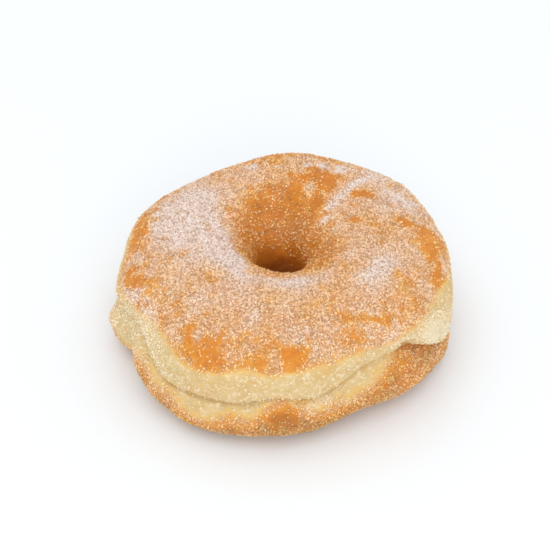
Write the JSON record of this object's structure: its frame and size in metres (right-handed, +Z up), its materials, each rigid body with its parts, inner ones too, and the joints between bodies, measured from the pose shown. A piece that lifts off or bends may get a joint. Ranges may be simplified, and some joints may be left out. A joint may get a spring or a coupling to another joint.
{
  "type": "sugar doughnut",
  "caption": "Ring doughnut of raised fried dough, with a domed browned top, a pale waist with a crease, a browned underside and a coat of granulated sugar.",
  "frame": {"origin": "centre of the bounding box on the plane that the doughnut rests on", "axes": "+Z up through the hole, -Y towards the side that the picture shows in front, +X to its right"},
  "size_m": [0.0942, 0.0884, 0.0363],
  "materials": {
    "fried_dough": "browned crust with a soft sheen, and a pale matte waist",
    "sugar": "fine white crystals, slightly glossy"
  },
  "bodies": {
    "root": {"doughnut": "fried_dough"}
  },
  "joints": []
}
